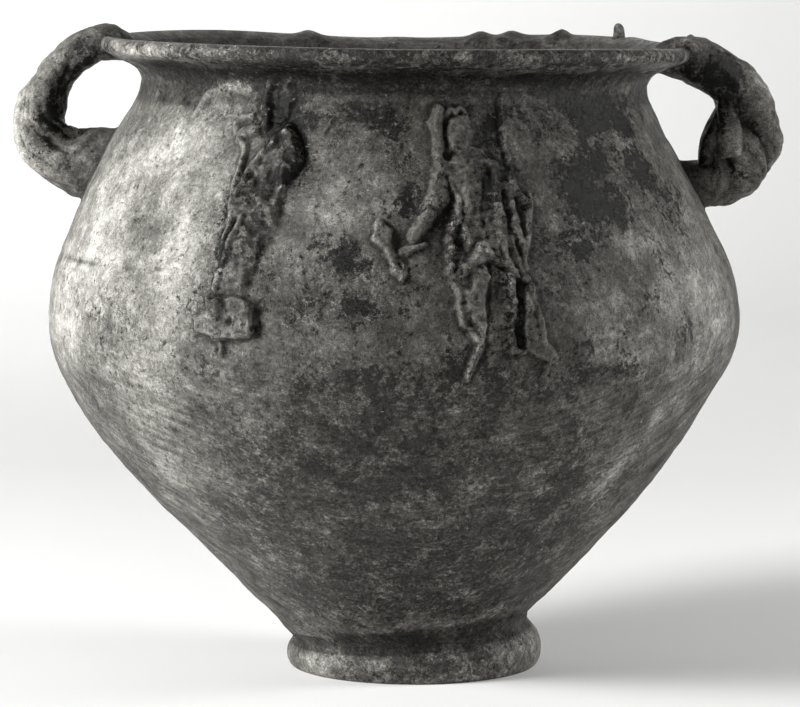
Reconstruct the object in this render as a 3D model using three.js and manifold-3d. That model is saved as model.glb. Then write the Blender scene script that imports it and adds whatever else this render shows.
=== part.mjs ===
// A deep two-handled bowl of lead-glazed earthenware with figures in relief round its shoulder.
// Wall, ring foot, twisted handles, rim knobs and figures were luted together and fired as one piece,
// so the whole bowl is one solid. Millimetres, +Z up, the front looks along -Y, the bowl stands on z = 0.
import * as THREE from "three";
import { mergeVertices } from "three/addons/utils/BufferGeometryUtils.js";
import Module from "manifold-3d";

const wasm = await Module();
wasm.setup();

// Driving dimensions of the thrown wall
const rimHeight = 280;
const lipRadius = 131;
const lipThickness = 6.6;
const lipDrop = 7; // how far the underside of the lip lies below the rim where it meets the flare
const throatRadius = 112;
const throatHeight = 262;
const bellyRadius = 154.7;
const bellyHeight = 161;
const notchRadius = 53; // the groove between the wall and the ring foot
const notchHeight = 16.5;
const wallThickness = 7.5;
const floorThickness = 11;
const figureHeight = 100; // of the tallest figures, from the soles to the crown

// Driving dimensions of the ring foot
const footRadius = 57.4;
const footEdgeRadius = 55.6; // outer edge of the ring that the bowl rests on
const ringWidth = 10;
const recessDepth = 9;
const recessSlope = 3;

// The wall between its levels, as shares of the way from the lower level to the upper one: [height, radius]
const lowerWallShape = [
  [0, 0], [0.04, 0.035], [0.161, 0.205], [0.301, 0.394], [0.436, 0.572], [0.643, 0.8], [0.85, 0.963],
  [0.93, 0.994], [1, 1],
];
const upperWallShape = [
  [0, 0], [0.14, 0.05], [0.29, 0.175], [0.58, 0.495], [0.83, 0.82], [0.94, 0.965], [1, 1],
];
const flareShape = [
  [0, 0], [0.35, 0.1], [0.62, 0.33], [0.8, 0.62], [1, 1],
];

// How the thrown wall wanders, read at each [height, amount]: its axis shifts to the right in millimetres,
// and its level climbs to the right in millimetres for each millimetre across
const axisShift = [
  [0, 8.6], [12, 8.6], [22, 4.8], [60, 2.4], [115, -1.6], [155, -0.4], [235, -2.2], [262, 0.2], [284, 0.5],
];
const levelClimb = [
  [0, 0], [6, 0.01], [17, 0.066], [30, 0.03], [60, 0], [245, 0], [262, -0.014], [284, -0.012],
];
// The rim's height wanders too: [azimuth in degrees, millimetres above the mean rim]
const rimWave = [
  [0, 0], [42, 0.4], [90, -0.6], [138, 2.4], [183, -0.8], [222, 2.6], [262, 1.6], [318, 0.6], [360, 0],
];
const rimWaveStart = 258; // height at which that wave begins

// Facets
const wallSegments = 46;
const lowerWallRows = 7;
const upperWallRows = 6;
const flareRows = 4;
const lipRows = 3;
const innerRows = 7;

// Value of a [place, value] table at a place, on a smooth curve through its entries
function along(table, place) {
  let i = 0;
  while (i < table.length - 2 && place > table[i + 1][0]) i += 1;
  const slope = (j) => {
    const before = table[Math.max(j - 1, 0)];
    const after = table[Math.min(j + 1, table.length - 1)];
    return (after[1] - before[1]) / (after[0] - before[0]);
  };
  const [x0, y0] = table[i];
  const [x1, y1] = table[i + 1];
  const step = x1 - x0;
  const t = Math.min(Math.max((place - x0) / step, 0), 1);
  const t2 = t * t;
  const t3 = t2 * t;
  return (2 * t3 - 3 * t2 + 1) * y0 + (t3 - 2 * t2 + t) * step * slope(i)
    + (3 * t2 - 2 * t3) * y1 + (t3 - t2) * step * slope(i + 1);
}

// Outer radius of the true, unwarped wall at a height between the notch and the lip
const flareTop = rimHeight - lipDrop;
const flareRadius = lipRadius - lipThickness / 2;
function wallRadius(height) {
  if (height < bellyHeight) {
    const share = (height - notchHeight) / (bellyHeight - notchHeight);
    return notchRadius + (bellyRadius - notchRadius) * along(lowerWallShape, share);
  }
  if (height < throatHeight) {
    const share = (height - bellyHeight) / (throatHeight - bellyHeight);
    return bellyRadius + (throatRadius - bellyRadius) * along(upperWallShape, share);
  }
  // the flare is read by its radius share at a height share, so the table is turned round
  const share = (height - throatHeight) / (flareTop - throatHeight);
  return throatRadius + (flareRadius - throatRadius) * along(flareShape, Math.min(share, 1));
}

// Outward unit normal of the true wall at a height, as [radial, upward]
function wallNormal(height) {
  const probe = 0.5;
  const slope = (wallRadius(height + probe) - wallRadius(height - probe)) / (2 * probe);
  const length = Math.hypot(1, slope);
  return [1 / length, -slope / length];
}

// Takes a point of the true wall to where the hand-thrown one has it
function warp(point) {
  const azimuth = THREE.MathUtils.radToDeg(Math.atan2(point.x, -point.y));
  const rise = THREE.MathUtils.clamp((point.z - rimWaveStart) / (rimHeight - rimWaveStart), 0, 1);
  const z = point.z + along(levelClimb, point.z) * point.x + along(rimWave, (azimuth + 360) % 360) * rise;
  return new THREE.Vector3(point.x + along(axisShift, point.z), point.y, z);
}

// A point at an azimuth (degrees from the front, to the right) and height, lifted off the wall
function onWall(azimuth, height, lift = 0) {
  const [outward, upward] = wallNormal(height);
  const radius = wallRadius(height) + lift * outward;
  const angle = THREE.MathUtils.degToRad(azimuth);
  return warp(new THREE.Vector3(radius * Math.sin(angle), -radius * Math.cos(angle), height + lift * upward));
}

// Closed geometry to a solid, with shared corners merged and empty triangles dropped
function toSolid(geometry) {
  const bare = new THREE.BufferGeometry();
  bare.setAttribute("position", geometry.getAttribute("position"));
  bare.setIndex(geometry.index);
  const merged = mergeVertices(bare, 1e-3);
  const kept = [];
  for (let i = 0; i < merged.index.count; i += 3) {
    const [a, b, c] = [0, 1, 2].map((k) => merged.index.getX(i + k));
    if (a !== b && b !== c && c !== a) kept.push(a, b, c);
  }
  const build = () => new wasm.Manifold(new wasm.Mesh({
    numProp: 3,
    vertProperties: merged.attributes.position.array,
    triVerts: new Uint32Array(kept),
  }));
  const solid = build();
  if (solid.volume() > 0) return solid;
  for (let i = 0; i < kept.length; i += 3) [kept[i], kept[i + 1]] = [kept[i + 1], kept[i]];
  return build();
}

function fromSolid(solid) {
  const mesh = solid.getMesh();
  const positions = new Float32Array(mesh.numVert * 3);
  for (let i = 0; i < mesh.numVert; i += 1) {
    positions.set(mesh.vertProperties.subarray(i * mesh.numProp, i * mesh.numProp + 3), i * 3);
  }
  return new THREE.BufferGeometry()
    .setAttribute("position", new THREE.BufferAttribute(positions, 3))
    .setIndex(new THREE.BufferAttribute(mesh.triVerts, 1));
}

// A closed skin over rings with the same number of corners, capped by a fan round each tip
function loft(rings, tips = []) {
  const sides = rings[0].length;
  const middle = (ring) => ring.reduce((sum, p) => sum.add(p), new THREE.Vector3()).divideScalar(sides);
  const points = [...rings.flat(), tips[0] ?? middle(rings[0]), tips[1] ?? middle(rings[rings.length - 1])];
  const faces = [];
  for (let i = 0; i < rings.length - 1; i += 1) {
    for (let j = 0; j < sides; j += 1) {
      const a = i * sides + j;
      const b = i * sides + ((j + 1) % sides);
      faces.push(a, b, b + sides, a, b + sides, a + sides);
    }
  }
  const [first, last] = [points.length - 2, points.length - 1];
  const lastRing = (rings.length - 1) * sides;
  for (let j = 0; j < sides; j += 1) {
    const k = (j + 1) % sides;
    faces.push(first, k, j, last, lastRing + j, lastRing + k);
  }
  const geometry = new THREE.BufferGeometry().setFromPoints(points).setIndex(faces);
  return toSolid(geometry);
}

// A ring of corners round a centre, with one reach along each of two directions
function ringAt(centre, across, up, acrossReach, upReach, sides, downReach = upReach) {
  const ring = [];
  for (let j = 0; j < sides; j += 1) {
    const angle = (2 * Math.PI * j) / sides;
    const lift = Math.sin(angle) > 0 ? upReach : downReach;
    ring.push(centre.clone().addScaledVector(across, acrossReach * Math.cos(angle))
      .addScaledVector(up, lift * Math.sin(angle)));
  }
  return ring;
}

// Samples of a smooth curve through points
function curveThrough(points, samples) {
  return new THREE.CatmullRomCurve3(points, false, "centripetal").getPoints(samples);
}

// The wall with its flared rim, ring foot and hollow inside, spun from its outline
function thrownWall() {
  const outline = [];
  const push = (radius, height) => outline.push(new THREE.Vector2(radius, height));
  const levels = (from, to, rows) => Array.from({ length: rows }, (_, i) => from + ((to - from) * i) / rows);

  // underside and ring foot
  const ringInner = footEdgeRadius - ringWidth;
  push(0, recessDepth);
  push(ringInner - recessSlope, recessDepth);
  push(ringInner, 0);
  push(footEdgeRadius, 0);
  push(footRadius, notchHeight * 0.22);
  push(footRadius, notchHeight * 0.5);
  push(footRadius - (footRadius - notchRadius) * 0.45, notchHeight * 0.78);

  // outside, from the notch up to the lip
  for (const height of levels(notchHeight, bellyHeight, lowerWallRows)) push(wallRadius(height), height);
  for (const height of levels(bellyHeight, throatHeight, upperWallRows)) push(wallRadius(height), height);
  for (const height of levels(throatHeight, flareTop, flareRows)) push(wallRadius(height), height);

  // rounded lip
  const lipCentre = [lipRadius - lipThickness / 2, rimHeight - lipThickness / 2];
  for (let i = 0; i <= lipRows; i += 1) {
    const angle = THREE.MathUtils.degToRad(-50 + (160 * i) / lipRows);
    push(lipCentre[0] + (lipThickness / 2) * Math.cos(angle), lipCentre[1] + (lipThickness / 2) * Math.sin(angle));
  }

  // inside, one wall's thickness in from the outside, down to the floor
  const inner = (height) => {
    const [outward, upward] = wallNormal(height);
    return [wallRadius(height) - wallThickness * outward, height - wallThickness * upward];
  };
  const floorHeight = recessDepth + floorThickness;
  const innerTop = (throatHeight + flareTop) / 2;
  const innerLow = notchHeight + wallThickness;
  const stops = [innerTop, throatHeight, ...levels(throatHeight, bellyHeight, 3).slice(1),
    ...levels(bellyHeight, innerLow, innerRows - 3)];
  for (const height of stops) {
    const [radius, level] = inner(height);
    if (level > floorHeight) push(radius, level);
  }
  push(inner(innerLow)[0] * 0.82, floorHeight);
  push(0, floorHeight);

  // LatheGeometry spins about +Y, so it is stood up along +Z
  const spun = new THREE.LatheGeometry(outline, wallSegments).rotateX(Math.PI / 2);
  const position = spun.getAttribute("position");
  for (let i = 0; i < position.count; i += 1) {
    const point = warp(new THREE.Vector3().fromBufferAttribute(position, i));
    position.setXYZ(i, point.x, point.y, point.z);
  }
  return toSolid(spun);
}

// A handle: a rope of three strands bowed from the lip down to the shoulder, plain and round at its foot and
// drawn out flat where it grips the lip. Its thickness is half of what shows from the front and from the side.
// Each station is [share of the reach past the lip, share of the drop from top to foot, share of the front
// thickness, share of the side thickness]. The turn of the strands is read at [share of the way, whole turns].
const ropeReach = 27.5;
const handles = {
  right: {
    side: 1, belowRim: 6.5, drop: 57.7, frontThickness: 16.9, sideThickness: 13.4,
    stations: [
      [-0.52, 0, 0.51, 0.77], [-0.04, 0.01, 0.6, 0.92], [0.25, 0.06, 0.67, 0.92], [0.51, 0.14, 0.66, 0.88],
      [0.76, 0.26, 0.73, 0.88], [0.89, 0.44, 0.9, 0.96], [0.85, 0.63, 1, 1], [0.7, 0.8, 0.97, 0.96],
      [0.44, 0.93, 0.77, 0.92], [0.12, 0.98, 0.67, 0.85], [-0.31, 1, 0.68, 0.85],
    ],
    turn: [[0, 0.12], [0.4, -0.12], [1, -1.15]],
    grooves: [[0, 0], [0.14, 0.04], [0.4, 0.2], [0.6, 0.3], [0.78, 0.22], [0.86, 0], [1, 0]],
  },
  left: {
    side: -1, belowRim: 1, drop: 53.8, frontThickness: 17.8, sideThickness: 13.8,
    stations: [
      [-0.67, 0, 0.33, 0.74], [-0.14, -0.01, 0.51, 0.89], [0.13, 0.01, 0.51, 0.89], [0.45, 0.1, 0.51, 0.81],
      [0.75, 0.27, 0.54, 0.81], [0.92, 0.43, 0.67, 0.85], [1, 0.61, 0.74, 0.89], [0.93, 0.78, 0.83, 0.93],
      [0.69, 0.91, 0.9, 0.96], [0.34, 0.98, 0.97, 1], [-0.13, 1, 1, 1],
    ],
    turn: [[0, 0.3], [0.45, 0.62], [1, 1.5]],
    grooves: [[0, 0], [0.12, 0.04], [0.3, 0.2], [0.6, 0.28], [0.84, 0.22], [0.92, 0], [1, 0]],
  },
};
const strandCount = 3;
const ropeSides = 15;
const ropeSteps = 18;

function twistedHandle({ side, belowRim, drop, frontThickness, sideThickness, stations, turn, grooves }) {
  const towardViewer = new THREE.Vector3(0, -1, 0);
  const top = rimHeight - belowRim;
  const footRoot = wallRadius(top - drop);
  const line = new THREE.CatmullRomCurve3(stations.map(([out, down]) => (
    new THREE.Vector3(side * (lipRadius + (footRoot - lipRadius) * down + ropeReach * out), 0, top - drop * down))));
  const shareAt = (column) => stations.map((station, i) => [i / (stations.length - 1), station[column]]);
  const [frontShare, sideShare] = [shareAt(2), shareAt(3)];
  const rings = Array.from({ length: ropeSteps + 1 }, (_, i) => {
    const t = i / ropeSteps;
    const centre = line.getPoint(t);
    const outward = new THREE.Vector3().crossVectors(line.getTangent(t), towardViewer).multiplyScalar(-side);
    outward.normalize();
    return Array.from({ length: ropeSides }, (__, j) => {
      const angle = (2 * Math.PI * j) / ropeSides;
      const strand = Math.abs(Math.cos((strandCount / 2) * (angle - 2 * Math.PI * along(turn, t))));
      const size = 1 - along(grooves, t) * (1 - strand);
      return centre.clone()
        .addScaledVector(outward, size * frontThickness * along(frontShare, t) * Math.cos(angle))
        .addScaledVector(towardViewer, size * sideThickness * along(sideShare, t) * Math.sin(angle));
    });
  });
  return loft(rings);
}

// The free end of one strand, tucked in against the inner side of the right handle
const tuckedEnd = { pastLip: 16, belowRim: 18, length: 29, across: 5.6, depth: 6, forward: 9 };

function tuckedStrand({ pastLip, belowRim, length, across, depth, forward }) {
  const rings = [[0, 0.6], [0.35, 0.9], [0.7, 1], [0.95, 1], [1, 0.8]].map(([t, size]) => {
    const swing = forward * Math.sin((Math.PI / 2) * Math.min(t + 0.3, 1));
    const centre = new THREE.Vector3(lipRadius + pastLip, -swing, rimHeight - belowRim - length * t);
    return ringAt(centre, new THREE.Vector3(1, 0, 0), new THREE.Vector3(0, 1, 0), across * size, depth * size, 8);
  });
  return loft(rings);
}

// Small knobs left standing on the rim: [azimuth, height, radius at the base]
const rimKnobs = [
  [199, 3.2, 5], [161.5, 4.4, 4.2], [154.5, 4.2, 4.6], [141.3, 5, 4.2], [125.5, 9, 3.4], [96, 6.5, 5],
];

function rimKnob([azimuth, height, radius]) {
  const angle = THREE.MathUtils.degToRad(azimuth);
  const stand = lipRadius - lipThickness / 2;
  const base = warp(new THREE.Vector3(stand * Math.sin(angle), -stand * Math.cos(angle), rimHeight));
  const x = new THREE.Vector3(1, 0, 0);
  const y = new THREE.Vector3(0, 1, 0);
  const rings = [[-0.3, 1], [0.1, 0.95], [0.5, 0.6], [1, 0.3]].map(([up, size]) => {
    const centre = base.clone().add(new THREE.Vector3(0, 0, height * up));
    return ringAt(centre, x, y, radius * size, radius * size, 6);
  });
  return loft(rings);
}

// Relief figures. Each stroke is a roll or pad of clay laid on the wall. Its path is given in hundredths of the
// figure's height as [right of the axis, above the feet], its half widths in hundredths of the height too, and
// its rise in hundredths of the height off the wall.
const reliefBed = 1.6; // how far a stroke is pressed into the wall
const tipLength = 0.8; // how far a stroke's rounded end runs on, as a share of its half width
const tipRise = 0.15; // and how high that end stands, as a share of its rise

function strokeSolid(figure, stroke) {
  const unit = figure.tall / 100;
  const place = ([across, up]) => {
    const height = figure.feet + up * unit;
    const azimuth = figure.azimuth + THREE.MathUtils.radToDeg((across * unit) / wallRadius(height));
    return new THREE.Vector3(azimuth, height, 0);
  };
  const steps = Math.max(stroke.path.length - 1, 2);
  const line = curveThrough(stroke.path.map(place), steps);
  const widthAt = (t) => {
    const at = t * (stroke.half.length - 1);
    const i = Math.min(Math.floor(at), stroke.half.length - 2);
    return unit * (stroke.half[i] + (stroke.half[i + 1] - stroke.half[i]) * (at - i));
  };
  const station = (i) => {
    const at = line[i];
    const before = line[Math.max(i - 1, 0)];
    const after = line[Math.min(i + 1, steps)];
    const centre = onWall(at.x, at.y);
    const up = onWall(at.x, at.y, 1).sub(centre).normalize();
    const forward = onWall(after.x, after.y).sub(onWall(before.x, before.y)).normalize();
    const across = new THREE.Vector3().crossVectors(forward, up).normalize();
    return { centre, up, forward, across, half: widthAt(i / steps) };
  };
  const stations = Array.from({ length: steps + 1 }, (_, i) => station(i));
  const rings = stations.map(({ centre, up, across, half }) => (
    ringAt(centre, across, up, half, stroke.rise * unit, stroke.sides ?? 6, reliefBed)));
  const tip = ({ centre, up, forward, half }, way) => (
    centre.clone().addScaledVector(forward, way * half * tipLength).addScaledVector(up, stroke.rise * unit * tipRise));
  return loft(rings, [tip(stations[0], -1), tip(stations[steps], 1)]);
}

// Straight or bowed folds side by side between two lines, from their tops to their hems
function folds(count, top, hem, bow, half, rise) {
  return Array.from({ length: count }, (_, i) => {
    const share = count === 1 ? 0.5 : i / (count - 1);
    const mix = (a, b) => a + (b - a) * share;
    const start = [mix(top[0][0], top[1][0]), mix(top[0][1], top[1][1])];
    const end = [mix(hem[0][0], hem[1][0]), mix(hem[0][1], hem[1][1])];
    const middle = [(start[0] + end[0]) / 2 + bow, (start[1] + end[1]) / 2];
    return { path: [start, middle, end], half: [half * 0.7, half, half * 0.8], rise, sides: 4 };
  });
}

// A standing figure that holds out a jug, with a mantle over the other arm and a staff beside it
const jugBearer = {
  azimuth: 14,
  feet: bellyHeight - 9,
  tall: figureHeight,
  strokes: [
    { path: [[-1.5, 99], [-1.5, 92.5], [-2, 86]], half: [4.6, 6, 5], rise: 4.2, sides: 8 }, // head
    { path: [[-7.5, 104], [-10, 97.5], [-11, 88.5], [-10, 76]], half: [1.6, 2.8, 2.8, 2.4], rise: 3.6 }, // upper arm
    { path: [[-10, 76.5], [-15.5, 64], [-21, 57.5], [-26, 51.5]], half: [2.8, 2.6, 2, 1.6], rise: 4 }, // forearm
    { path: [[-34, 58.5], [-38.5, 52], [-37, 46.5], [-32, 35.5]], half: [1.6, 2.6, 3.2, 1.4], rise: 3 }, // jug
    { path: [[-32, 41.5], [-28, 46.5], [-20.5, 48.5]], half: [1.5, 1.5, 1.2], rise: 2.2, sides: 4 }, // its mouth
    { path: [[2, 85.5], [0, 75.5], [1, 58], [2, 32]], half: [7, 8.6, 11, 11], rise: 3.6, sides: 8 }, // trunk
    { path: [[3, 86], [9, 86.5], [14, 82]], half: [3.4, 3.2, 2.4], rise: 3.8 }, // far shoulder
    { path: [[1, 75.5], [7, 78], [13, 75.5]], half: [1.6, 2, 1.6], rise: 4.6, sides: 4 }, // band over the chest
    { path: [[-3, 71.5], [-8, 63.5], [-11, 42], [-10.5, 29.5]], half: [1.8, 2.1, 2.1, 1.6], rise: 4.4 }, // near edge
    { path: [[-2, 64], [-0.5, 55.5], [0, 48.5]], half: [1.2, 1.4, 1.1], rise: 4.8, sides: 4 }, // fold
    { path: [[-11, 35.5], [-4.5, 38], [2.5, 47], [5.5, 44]], half: [1.5, 2, 2.2, 1.5], rise: 5.4 }, // hip roll
    { path: [[2, 37.5], [-3.5, 28], [-1.5, 15], [-0.5, 4]], half: [1.6, 2.8, 2.6, 2.3], rise: 4.6 }, // near leg
    { path: [[-9.5, 31], [-8.5, 24], [-7, 15.5]], half: [1.5, 1.7, 1.3], rise: 3.6, sides: 4 }, // fold beside it
    { path: [[-0.5, 4.5], [-5, -1], [-6.5, -7]], half: [2.5, 2.5, 1.6], rise: 3.2 }, // near foot
    { path: [[6, 36], [6, 22], [6.5, 6]], half: [9, 8.4, 7], rise: 2.6, sides: 8 }, // skirt
    { path: [[11.5, 34.5], [12.5, 23.5], [12, 7], [16, 4]], half: [1.8, 2.3, 2.2, 1.8], rise: 4.4 }, // far leg
    { path: [[23.5, 55.5], [20.5, 41], [17.5, 31]], half: [1.4, 1.6, 2.4], rise: 3.4, sides: 4 }, // mantle edge
    { path: [[17.5, 32], [20, 21.5], [23, 11.5], [26.5, 3.5]], half: [2.4, 4.2, 4.6, 3], rise: 3.4 }, // mantle end
    { path: [[12, 77], [10.5, 60], [15.5, 32]], half: [1.3, 1.6, 1.3], rise: 4.2, sides: 4 }, // folds of the mantle
    { path: [[15.5, 78.5], [16.3, 58], [18, 33.5]], half: [1.2, 1.5, 1.2], rise: 4, sides: 4 },
    { path: [[22.5, 87.5], [24, 70.5], [24.5, 56.5]], half: [1.3, 1.5, 1.4], rise: 3.4, sides: 4 }, // staff
    { path: [[20, 109.5], [21.5, 99], [22.5, 87.5]], half: [3.4, 4.4, 2.2], rise: 2.8 }, // its head
    { path: [[30, 5], [31, 0], [28, -6.5]], half: [1.3, 1.4, 1.1], rise: 1.8, sides: 4 }, // hem on the ground
  ],
};

// A figure that leans on a long staff, standing on a small block
const staffBearer = {
  azimuth: -26,
  feet: bellyHeight + 15,
  tall: figureHeight,
  strokes: [
    { path: [[5.5, 88], [5, 82.5], [6.5, 77]], half: [5.2, 6.4, 5.2], rise: 4.2, sides: 8 }, // head
    { path: [[-3.5, 86.5], [-3.5, 79], [-0.5, 72.5]], half: [2.2, 2.6, 3], rise: 3.8 }, // raised hand beside it
    { path: [[7, 77], [9, 70]], half: [3, 3.6], rise: 2.6 }, // neck
    { path: [[8, 70], [10, 60], [6.5, 32], [1, 1]], half: [8, 8.8, 9.8, 8.2], rise: 4, sides: 8 }, // trunk and robe
    { path: [[11, 69.5], [19, 59], [16.5, 53], [13, 50.5]], half: [2.6, 3, 2.6, 2.4], rise: 5 }, // far arm
    { path: [[9.5, 69.5], [4, 62], [1, 55.5]], half: [2.8, 3, 2.2], rise: 5.4 }, // near arm
    { path: [[-12.5, 77.5], [-8.5, 74], [-9.5, 66]], half: [3, 4, 2], rise: 3 }, // head of the staff
    { path: [[-9, 65.5], [-7.5, 41.5], [-8, 14.5], [-8, 1]], half: [1.4, 1.4, 1.6, 1.4], rise: 3.2, sides: 4 }, // staff
    { path: [[-5.5, 65], [-5, 52.5], [-5.5, 40.5]], half: [1.5, 1.4, 1.2], rise: 3.2, sides: 4 }, // fold behind it
    { path: [[-2, 36], [-4, 23.5], [-5.5, 2]], half: [1.2, 1.5, 1.3], rise: 5, sides: 4 }, // folds of the robe
    { path: [[9, 33], [4.5, 17], [1.5, 2]], half: [1.2, 1.6, 1.5], rise: 5.2, sides: 4 },
    { path: [[-6, 39], [-1.5, 42.5], [4.5, 40], [13, 36]], half: [1.2, 1.6, 1.6, 1.2], rise: 5.2, sides: 4 }, // belt
    { path: [[13.5, 49], [15, 37], [9, 13], [7.5, 3]], half: [2, 2.6, 2.4, 2], rise: 4.6 }, // far edge of the robe
    { path: [[-9, -8], [5, -7]], half: [6.6, 6.6], rise: 4.4 }, // block
    { path: [[-4, 0], [-3, -6.5]], half: [3, 3], rise: 5.4 }, // foot
    { path: [[-4.5, -14.5], [-4, -20]], half: [1.2, 1.4], rise: 1.6, sides: 4 }, // a run of glaze below the block
    { path: [[30, 57.5], [29, 67.5], [32, 74.5], [34.5, 67.5], [37, 58]], half: [1.2, 1.3, 1.5, 1.3, 1.1], rise: 1.8,
      sides: 4 }, // a leaf beside the figure
  ],
};

// Plainer mantled figures on the side away from the viewer
function mantledFigure(azimuth, lean) {
  return {
    azimuth,
    feet: bellyHeight - 3,
    tall: figureHeight,
    strokes: [
      { path: [[lean, 97], [lean, 86]], half: [5.2, 6.2], rise: 3.8, sides: 8 }, // head
      { path: [[lean, 88], [lean, 78]], half: [3, 3.4], rise: 2.6 }, // neck
      { path: [[lean, 78], [0, 55], [-lean, 28], [-lean, 5]], half: [10, 11.5, 12.5, 11], rise: 3.8, sides: 8 },
      { path: [[lean + 8, 76], [lean + 15, 62], [lean + 6, 53]], half: [2.8, 2.6, 2.2], rise: 3.6 }, // arm
      ...folds(3, [[-6, 60], [7, 62]], [[-8, 6], [8, 5]], lean / 2, 1.6, 4.8),
      { path: [[-6, 0], [6, 0]], half: [3.4, 3.4], rise: 3.2 }, // ground under the feet
    ],
  };
}
const figures = [staffBearer, jugBearer, mantledFigure(152, 2), mantledFigure(207, -2)];

// One fired piece
let bowl = thrownWall();
for (const handle of Object.values(handles)) bowl = bowl.add(twistedHandle(handle));
bowl = bowl.add(tuckedStrand(tuckedEnd));
for (const knob of rimKnobs) bowl = bowl.add(rimKnob(knob));
for (const figure of figures) {
  for (const stroke of figure.strokes) bowl = bowl.add(strokeSolid(figure, stroke));
}

// pockets closed in between neighbouring strokes are filled, as the clay there is pressed home
const [body] = bowl.decompose().sort((a, b) => b.volume() - a.volume());

const glaze = new THREE.MeshStandardMaterial({ color: 0x55524a, roughness: 0.45, metalness: 0 });
const reliefBowl = new THREE.Mesh(fromSolid(body), glaze);
reliefBowl.name = "relief_bowl";

// The origin lies on the table, under the middle of the whole bowl
const extent = new THREE.Box3().setFromBufferAttribute(reliefBowl.geometry.getAttribute("position"));
const middle = extent.getCenter(new THREE.Vector3());
reliefBowl.position.set(-middle.x, -middle.y, -extent.min.z);

const model = new THREE.Group();
model.add(reliefBowl);
export default model;
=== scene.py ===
import bpy
import math
import numpy as np
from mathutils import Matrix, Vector
from mathutils.bvhtree import BVHTree


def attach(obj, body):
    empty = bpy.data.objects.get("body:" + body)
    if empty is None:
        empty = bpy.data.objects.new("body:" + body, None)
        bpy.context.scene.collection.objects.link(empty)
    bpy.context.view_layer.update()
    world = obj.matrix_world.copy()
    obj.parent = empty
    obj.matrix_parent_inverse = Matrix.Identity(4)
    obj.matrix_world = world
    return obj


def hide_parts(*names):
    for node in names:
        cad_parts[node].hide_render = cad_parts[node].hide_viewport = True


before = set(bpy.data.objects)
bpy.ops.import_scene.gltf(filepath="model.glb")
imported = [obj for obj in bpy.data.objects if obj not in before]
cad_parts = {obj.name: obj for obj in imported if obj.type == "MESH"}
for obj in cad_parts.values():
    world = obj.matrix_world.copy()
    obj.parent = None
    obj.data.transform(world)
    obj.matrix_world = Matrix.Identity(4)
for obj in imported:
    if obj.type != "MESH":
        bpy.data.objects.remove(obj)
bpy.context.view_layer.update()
bpy.ops.object.select_all(action="DESELECT")
print("frame loaded")

# The camera stands at the photograph's place: 1.65 m off, above the rim, looking down 6 degrees
view = {"side": 0.0025, "distance": 1.6504, "height": 0.3177, "pitch": 6.134, "lens": 165.95}
axisX = -1.82  # millimetres from the origin to the mouth's middle

cameraData = bpy.data.cameras.new("camera")
cameraData.sensor_width = 36
cameraData.lens = view["lens"]
cameraData.clip_end = 20
camera = bpy.data.objects.new("camera", cameraData)
bpy.context.scene.collection.objects.link(camera)
camera.location = (view["side"] + axisX / 1000, -view["distance"], view["height"])
camera.rotation_euler = (math.radians(90 - view["pitch"]), 0, 0)
bpy.context.scene.camera = camera


def readCurve(table, place):
    # value of a [place, value] table on a smooth curve through its entries
    t = np.array(table, float)
    place = np.asarray(place, float)
    last = len(t) - 1
    low = np.maximum(np.arange(last + 1) - 1, 0)
    high = np.minimum(np.arange(last + 1) + 1, last)
    slope = (t[high, 1] - t[low, 1]) / (t[high, 0] - t[low, 0])
    i = np.clip(np.searchsorted(t[:, 0], place) - 1, 0, last - 1)
    step = t[i + 1, 0] - t[i, 0]
    u = np.clip((place - t[i, 0]) / step, 0, 1)
    return ((2 * u**3 - 3 * u**2 + 1) * t[i, 1] + (u**3 - 2 * u**2 + u) * step * slope[i]
            + (3 * u**2 - 2 * u**3) * t[i + 1, 1] + (u**3 - u**2) * step * slope[i + 1])


def lumps(points, size, seed, waves=14):
    # smooth seeded unevenness, about -1 to 1, with humps about that size apart
    chance = np.random.default_rng(seed)
    total = np.zeros(len(points))
    for _ in range(waves):
        way = chance.normal(size=3)
        way *= chance.uniform(0.6, 1.4) / np.linalg.norm(way)
        total += np.sin(2 * math.pi * (points @ way) / size + chance.uniform(0, 6.28))
    return total / math.sqrt(waves) * 0.8


def layered(points, layers):
    # lumps of several sizes added up, each layer [height, size, seed]
    return sum(height * lumps(points, size, seed) for height, size, seed in layers)


# The thrown wall, in millimetres round its own axis
bowl = {
    "rimHeight": 280, "lipRadius": 131, "lipThickness": 6.6, "lipDrop": 7,
    "throatRadius": 112, "throatHeight": 262, "bellyRadius": 154.7, "bellyHeight": 161,
    "notchRadius": 53, "notchHeight": 16.5, "wall": 7.5, "floor": 11,
    "footRadius": 57.4, "footEdge": 55.6, "ringWidth": 10, "recess": 9, "recessSlope": 3,
    "lowerShape": [[0, 0], [0.04, 0.035], [0.161, 0.205], [0.301, 0.394], [0.436, 0.572],
                   [0.643, 0.8], [0.85, 0.963], [0.93, 0.994], [1, 1]],
    "upperShape": [[0, 0], [0.14, 0.05], [0.29, 0.175], [0.58, 0.495], [0.83, 0.82], [0.94, 0.965],
                   [1, 1]],
    "flareShape": [[0, 0], [0.35, 0.1], [0.62, 0.33], [0.8, 0.62], [1, 1]],
    "shift": [[0, 8.6], [12, 8.6], [22, 4.8], [60, 2.4], [115, -1.6], [155, -0.4], [235, -2.2],
              [262, 0.2], [284, 0.5]],
    "climb": [[0, 0], [6, 0.01], [17, 0.066], [30, 0.03], [60, 0], [245, 0], [262, -0.014],
              [284, -0.012]],
    "rimWave": [[0, 0], [42, 0.4], [90, -0.6], [138, 2.4], [183, -0.8], [222, 2.6], [262, 1.6],
                [318, 0.6], [360, 0]],
    "waveStart": 258, "columns": 180, "rowStep": 4.9,
}
flareTop = bowl["rimHeight"] - bowl["lipDrop"]
flareRadius = bowl["lipRadius"] - bowl["lipThickness"] / 2


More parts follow.
